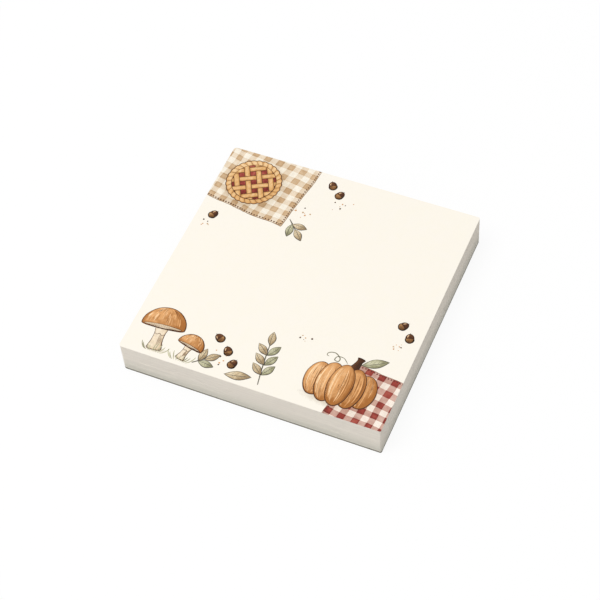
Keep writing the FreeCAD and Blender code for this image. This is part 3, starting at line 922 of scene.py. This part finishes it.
def mushrooms(lines):
    caps, stems = Ink(41), Ink(42)
    for foot, share, lean in MUSHROOMS:
        at = placing(foot, lean, share)
        stem = flowing(at(STEM), closed=True, steps=6)
        paint = painted(CREAM, middle(stem), 4 * share, towards=(-0.95, 0.1), rim=0.35, seed=share)
        stems.wash(stem, STEM_RANK, paint, rings=7)
        lines.contour(stem, STEM_RANK + 1, 0.2, LINE, slip=0.04)
        for number in range(6):
            x = 0.35 + 0.19 * number
            hatch = at([(x, 0.9 + 0.25 * number), (x - 0.12, 3.0), (x - 0.1, 5.2 - 0.3 * number)])
            lines.stroke(flowing(hatch), STEM_RANK + 1, 0.11, mix(LINE, CREAM[2], 0.35), ends=0.1)
        frill = flowing(at([(-1.6, 5.3), (-0.8, 4.7), (0.0, 5.1), (0.8, 4.6), (1.7, 5.2)]))
        lines.stroke(frill, STEM_RANK + 1, 0.16, LINE)
        cap = flowing(at(CAP), closed=True, steps=6)
        light = at([(-1.2, 10.6)])[0]
        paint = painted(CARAMEL, light, 7.5 * share, towards=(-0.6, 0.8), rim=0.5, grain=0.3, shift=0.08,
                        seed=share)
        caps.wash(cap, CAP_RANK, paint, rings=10)
        for turn in range(1, CAP_STREAKS + 1):
            bend, start = caps.chance.uniform(-0.93, 0.93), caps.chance.uniform(5, 60)
            end = min(start + caps.chance.uniform(15, 45), 86)
            dark = 0.56 + 0.3 * bend + caps.chance.uniform(-0.45, 0.3)
            arc = []
            for k in range(9):
                angle = math.radians(start + (end - start) * k / 8)
                across = bend * CAP_REACH * math.sin(angle)
                arc.append((across, CAP_FOOT + CAP_REACH * 0.97 * math.cos(angle)))
            width = share * caps.chance.uniform(0.15, 0.4)
            pen = 0 if turn % 5 else 0.12
            streak(caps, lines, at(arc), CAP_RANK, turn / CAP_STREAKS, width, dark, pen)
        gills = flowing(at(GILLS), closed=True, steps=6)
        paint = painted(SAND, middle(gills), 3 * share, towards=(0, -1), shift=0.2)
        caps.wash(gills, GILL_RANK, paint, rings=3)
        lines.contour(gills, GILL_LINE_RANK, 0.14, LINE)
        for number in range(-7, 8):
            fold = at([(number * 0.27, 7.0), (number * 0.7, 7.95 - 0.012 * number**2)])
            lines.stroke(line(*fold, steps=3), GILL_LINE_RANK, 0.09, LINE)
        lines.contour(cap, GILL_LINE_RANK, 0.24, LINE, slip=0.04)
        for number in range(-4, 5):
            blade = number * 0.55 + lines.chance.uniform(-0.15, 0.15)
            tall = lines.chance.uniform(1.4, 3.0) * (0.6 + 0.4 * share)
            tip = (foot[0] + blade * 1.9, foot[1] - 0.6 + tall)
            grass = line((foot[0] + blade, foot[1] - 0.9), tip, bow=-0.05 * blade)
            colour = between_tones(SAGE, lines.chance.uniform(0.4, 1.0))
            lines.stroke(grass, GRASS_RANK, 0.26, colour, ends=0.15)
    caps.piece("mushroom_cap_print", WASH, "ink_caramel", "print_mushroom_caps")
    stems.piece("mushroom_stem_print", WASH, "ink_cream", "print_mushroom_stems")


# Nuts and leaves, at the places that the solids have. Nuts: X, Y and turn

NUT_WIDE, NUT_LONG = 2.3, 3.0
NUTS = ((28.6, 9.0, 35), (31.4, 5.6, -20), (24.8, 12.2, 60),
        (PAGE_WIDE - 3.6, 30.2, 15), (PAGE_WIDE - 6.6, 33.4, -40),
        (TAN_CLOTH[0] + 8.4, TAN_CLOTH[1] + 19.0, 30), (TAN_CLOTH[0] + 11.6, TAN_CLOTH[1] + 16.4, -25),
        (TAN_CLOTH[0] - 19.6, TAN_CLOTH[1] - 2.6, -30))
NUT_CUP = ((-1.22, -0.2), (-1.0, -1.05), (0.0, -1.55), (1.0, -1.05),
           (1.22, -0.2), (0.6, 0.0), (0.0, 0.05), (-0.6, 0.0))


def nuts(ink, lines):
    for number, (x, y, turn) in enumerate(NUTS):
        at = placing((x, y), turn)
        shell = oval(NUT_WIDE, NUT_LONG, 30, (x, y), turn, rough=0.03, seed=number)
        paint = painted(BROWN, (x, y), 1.7, towards=(-0.6, 0.75), rim=0.3, seed=number)
        ink.wash(shell, NUT_RANK, paint, rings=6)
        lines.contour(shell, NUT_RANK + 1, 0.18, DARK_LINE)
        cup = flowing(at(NUT_CUP), closed=True, steps=4)
        paint = painted(NUT_CUPS, middle(cup), 1.1, towards=(-0.6, 0.7), rim=0.5, grain=0.5, shift=0.1,
                        seed=number)
        ink.wash(cup, CUP_RANK, paint, rings=4)
        lines.contour(cup, CUP_RANK + 1, 0.15, DARK_LINE)
        for k in (-1, 0, 1):
            scale = at([(k * 0.55 - 0.2, -0.3), (k * 0.4, -0.75), (k * 0.3 + 0.1, -1.2)])
            lines.stroke(scale, CUP_RANK + 1, 0.09, DARK_LINE)
            hatch = at([(k * 0.5, 0.25), (k * 0.42, 0.8), (k * 0.2, 1.25)])
            lines.stroke(hatch, NUT_RANK + 1, 0.09, DARK_LINE)
        gleam = flowing(at([(-0.62, 0.3), (-0.55, 0.75), (-0.3, 1.1)]), steps=4)
        ink.stroke(gleam, NUT_RANK + 1.5, 0.2, CARAMEL[0], ends=0.2)
        lines.stroke(at([(0, 1.42), (0.05, 1.6), (0.1, 1.85)]), NUT_RANK + 1, 0.2, DARK_LINE)


LEAF_LONG, LEAF_WIDE = 4.6, 2.1
LEAF_SPREAD = 42.0
LEAF_STAGGER = 0.03
LONE_LEAF_LONG, LONE_LEAF_WIDE = 7.4, 2.7

# Sprigs: foot, turn from +Y, length and pairs of leaves. Lone leaves: foot, turn and tones
SPRIGS = (((PUMPKIN[0] - 20.4, PUMPKIN[1] - 7.7), 9.0, 17.5, 3), ((21.0, 2.2), -52.0, 8.0, 1),
          ((TAN_CLOTH[0] + 1.6, TAN_CLOTH[1] + 3.4), -136.0, 8.5, 1))
LONE_LEAVES = (((30.6, 2.0), -78.0, STRAW), ((PUMPKIN[0] + 3.0, PUMPKIN[1] + 7.9), -62.0, SAGE))


def leaf(ink, lines, foot, turn, length, width, tones, rank):
    at = placing(foot, turn)
    half = [(width / 2 * math.sin(math.pi * k / 18), length * k / 18) for k in range(19)]
    outline = at(half + [(-x, y) for x, y in half[17:0:-1]])
    paint = painted(tones, middle(outline), width * 0.9, towards=(-0.8, 0.6), rim=0.45, grain=0.45,
                    seed=foot[0] + turn)
    ink.wash(outline, rank, paint, rings=6)
    lines.contour(outline, rank + 0.5, 0.17, LEAF_LINE, slip=0.07)
    bow = lines.chance.uniform(-0.05, 0.05)
    lines.stroke(at(line((0, -0.1), (0, length * 0.93), bow=bow)), rank + 0.5, 0.15, LEAF_LINE, ends=0.4)
    for k in range(1, 5):
        root = length * (0.1 + 0.16 * k)
        for side in (-1, 1):
            out = width * 0.34 * math.sin(math.pi * (root / length + 0.12))
            vein = line((0, root), (side * out, root + length * 0.14), steps=4)
            lines.stroke(at(vein), rank + 0.5, 0.08, mix(LEAF_LINE, tones[2], 0.5))


def leaves(lines):
    ink = Ink(51)
    for foot, turn, length, pairs in SPRIGS:
        at = placing(foot, turn)
        stem = at(line((0, 0), (0, length - LEAF_LONG * 0.8), steps=14, bow=0.012))
        ink.stroke(stem, SPRIG_RANK, 0.34, mix(LEAF_LINE, SAGE[2], 0.2), ends=0.7)
        for number in range(pairs):
            height = (length - LEAF_LONG) * (number + 1) / (pairs + 1)
            for side in (-1, 1):
                tones = STRAW if side > 0 else SAGE
                root = at([(0, height + side * LEAF_STAGGER)])[0]
                spread = turn + side * LEAF_SPREAD
                leaf(ink, lines, root, spread, LEAF_LONG, LEAF_WIDE, tones, LEAF_RANK)
        root = at([(0, length - LEAF_LONG)])[0]
        leaf(ink, lines, root, turn, LEAF_LONG, LEAF_WIDE, STRAW, END_LEAF_RANK)
    for foot, turn, tones in LONE_LEAVES:
        leaf(ink, lines, foot, turn, LONE_LEAF_LONG, LONE_LEAF_WIDE, tones, LEAF_RANK)
    ink.piece("leaf_print", WASH, "ink_sage", "print_leaves")


def shades():
    """Faint pools of shade on the paper under what stands on it."""
    ink = Ink(91)

    def paint(x, y, depth):
        return mix(PAPER, PAPER_SHADE, 1.6 * depth)

    spots = [((PUMPKIN[0] + 0.5, PUMPKIN[1] - PUMPKIN_SIZE[1] / 2 + 1.2), PUMPKIN_SIZE[0] + 0.6, 4.6, 0.0)]
    spots += [((x + 0.4, y - 0.1), 7.6 * share, 2.0 * share, lean / 2) for (x, y), share, lean in MUSHROOMS]
    for number, (at, wide, deep, turn) in enumerate(spots):
        pool = oval(wide, deep, 48, at, turn, rough=0.08, seed=number)
        ink.wash(pool, SHADE_RANK, paint, rings=8)
    ink.piece("shade_print", WASH, "ink_tan")


# Patches of crumbs: middle, reach and number
CRUMB_PATCHES = (((27.0, 60.0), 3.4, 12), ((36.5, 66.0), 3.0, 8), ((28.0, 6.0), 3.4, 9),
                 ((70.5, 26.5), 2.4, 8), ((3.6, 46.8), 1.8, 6), ((46.0, 20.5), 2.4, 6))


def crumbs():
    ink = Ink(81)
    for (x, y), reach, count in CRUMB_PATCHES:
        for _ in range(count):
            spot = (x + ink.chance.gauss(0, reach / 2), y + ink.chance.gauss(0, reach / 2))
            wide = ink.chance.uniform(0.22, 0.6)
            long = wide * ink.chance.uniform(0.7, 1.1)
            outline = oval(wide, long, 9, spot, ink.chance.uniform(0, 90), rough=0.2, seed=x)
            tones = ink.chance.choice((CARAMEL, TAN, BROWN))
            ink.wash(outline, CRUMB_RANK, painted(tones, spot, wide), rings=2)
    ink.piece("crumbs", WASH, "ink_tan")


PEN_SEEDS = {"nut": 12, "leaf": 16, "pumpkin": 13, "pie": 14, "mushroom": 15}


def drawing():
    """Everything on the top note."""
    shades()
    crumbs()
    cloths()
    nut_ink = Ink(11)
    pens = {name: Ink(seed) for name, seed in PEN_SEEDS.items()}
    leaves(pens["leaf"])
    nuts(nut_ink, pens["nut"])
    pumpkin(nut_ink, pens["pumpkin"])
    pie(pens["pie"])
    mushrooms(pens["mushroom"])
    nut_ink.piece("nut_print", WASH, "ink_brown", "print_nuts")
    for name, lines in pens.items():
        lines.piece(f"{name}_lines", PEN, "ink_brown")


# Studio: metres and degrees. The camera's places are from the middle of the top.

CAMERA_AT = Vector((131.56, -255.2, 376.55)) * MM
CAMERA_TO = Vector((1.876, -6.528, 0.0)) * MM
CAMERA_ROLL = -5.41
CAMERA_LENS = 103.02
SKY = 0.68
KEY_POWER = 18.8
KEY_SIZE = 1.4
KEY_FAR = 2.0
KEY_HEIGHT = 64.0
KEY_LEFT = 42.0
FLOOR_SIZE = 6.0
FLOOR_TONE = (0.48, 0.48, 0.48, 1)
FLOOR_SEEN = (0.95, 0.95, 0.95, 1)
FLOOR_SHADE = 0.1


def seen_directly(tree):
    """1 for the camera's rays and for what mirrors or lets through the surroundings."""
    path = tree.nodes.new("ShaderNodeLightPath")
    total = path.outputs["Is Camera Ray"]
    for ray in ("Is Glossy Ray", "Is Transmission Ray"):
        larger = add_node(tree, "ShaderNodeMath", {"operation": "MAXIMUM"}, i0=total, i1=path.outputs[ray])
        total = larger.outputs[0]
    return total


def studio():
    scene = bpy.context.scene
    scene.view_settings.view_transform = "Standard"
    world = bpy.data.worlds.new("studio")
    world.use_nodes = True
    scene.world = world
    tree = world.node_tree
    sky = tree.nodes["Background"]
    sky.inputs["Color"].default_value = (1, 1, 1, 1)
    sky.inputs["Strength"].default_value = SKY
    backdrop = add_node(tree, "ShaderNodeBackground", Color=(1, 1, 1, 1))
    mixer = add_node(tree, "ShaderNodeMixShader", i0=seen_directly(tree), i1=sky.outputs[0],
                     i2=backdrop.outputs[0])
    tree.links.new(mixer.outputs[0], tree.nodes["World Output"].inputs["Surface"])

    lamp = bpy.data.lights.new("key", "AREA")
    lamp.shape = "DISK"
    lamp.size = KEY_SIZE
    lamp.energy = KEY_POWER
    key = add_object("key", lamp)
    height, left = math.radians(KEY_HEIGHT), math.radians(KEY_LEFT)
    flat = math.cos(height)
    way = Vector((-math.sin(left) * flat, -math.cos(left) * flat, math.sin(height)))
    key.location = way * KEY_FAR
    key.rotation_euler = way.to_track_quat("Z", "Y").to_euler()

    view = bpy.data.cameras.new("camera")
    view.lens = CAMERA_LENS
    view.sensor_width = 36.0
    camera = add_object("camera", view)
    place = Matrix.Translation(CAMERA_AT + Vector((0, 0, cad_box[1].z)))
    look = (CAMERA_TO - CAMERA_AT).to_track_quat("-Z", "Y").to_matrix().to_4x4()
    camera.matrix_world = place @ look @ Matrix.Rotation(math.radians(CAMERA_ROLL), 4, "Z")
    scene.camera = camera


def floor():
    mesh = bpy.data.meshes.new("floor")
    half = FLOOR_SIZE / 2
    corners = [(-half, -half, 0), (half, -half, 0), (half, half, 0), (-half, half, 0)]
    mesh.from_pydata(corners, [], [(0, 1, 2, 3)])
    ground = add_object("floor", mesh)
    material = bpy.data.materials.new("floor")
    material.use_nodes = True
    mesh.materials.append(material)
    tree = material.node_tree
    lit = tree.nodes["Principled BSDF"]
    lit.inputs["Roughness"].default_value = 0.9
    seen = seen_directly(tree)
    colour = add_node(tree, "ShaderNodeMix", {"data_type": "RGBA"}, i0=seen, i6=FLOOR_TONE, i7=FLOOR_SEEN)
    tree.links.new(colour.outputs[2], lit.inputs["Base Color"])
    glow = tree.nodes.new("ShaderNodeEmission")
    share = add_node(tree, "ShaderNodeMath", {"operation": "MULTIPLY"}, i0=seen, i1=1 - FLOOR_SHADE)
    mixer = add_node(tree, "ShaderNodeMixShader", i0=share.outputs[0], i1=lit.outputs[0], i2=glow.outputs[0])
    tree.links.new(mixer.outputs[0], tree.nodes["Material Output"].inputs["Surface"])


note_block()
backing()
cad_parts["glue_band"].material_slots[0].material = GLUE
drawing()
studio()
floor()
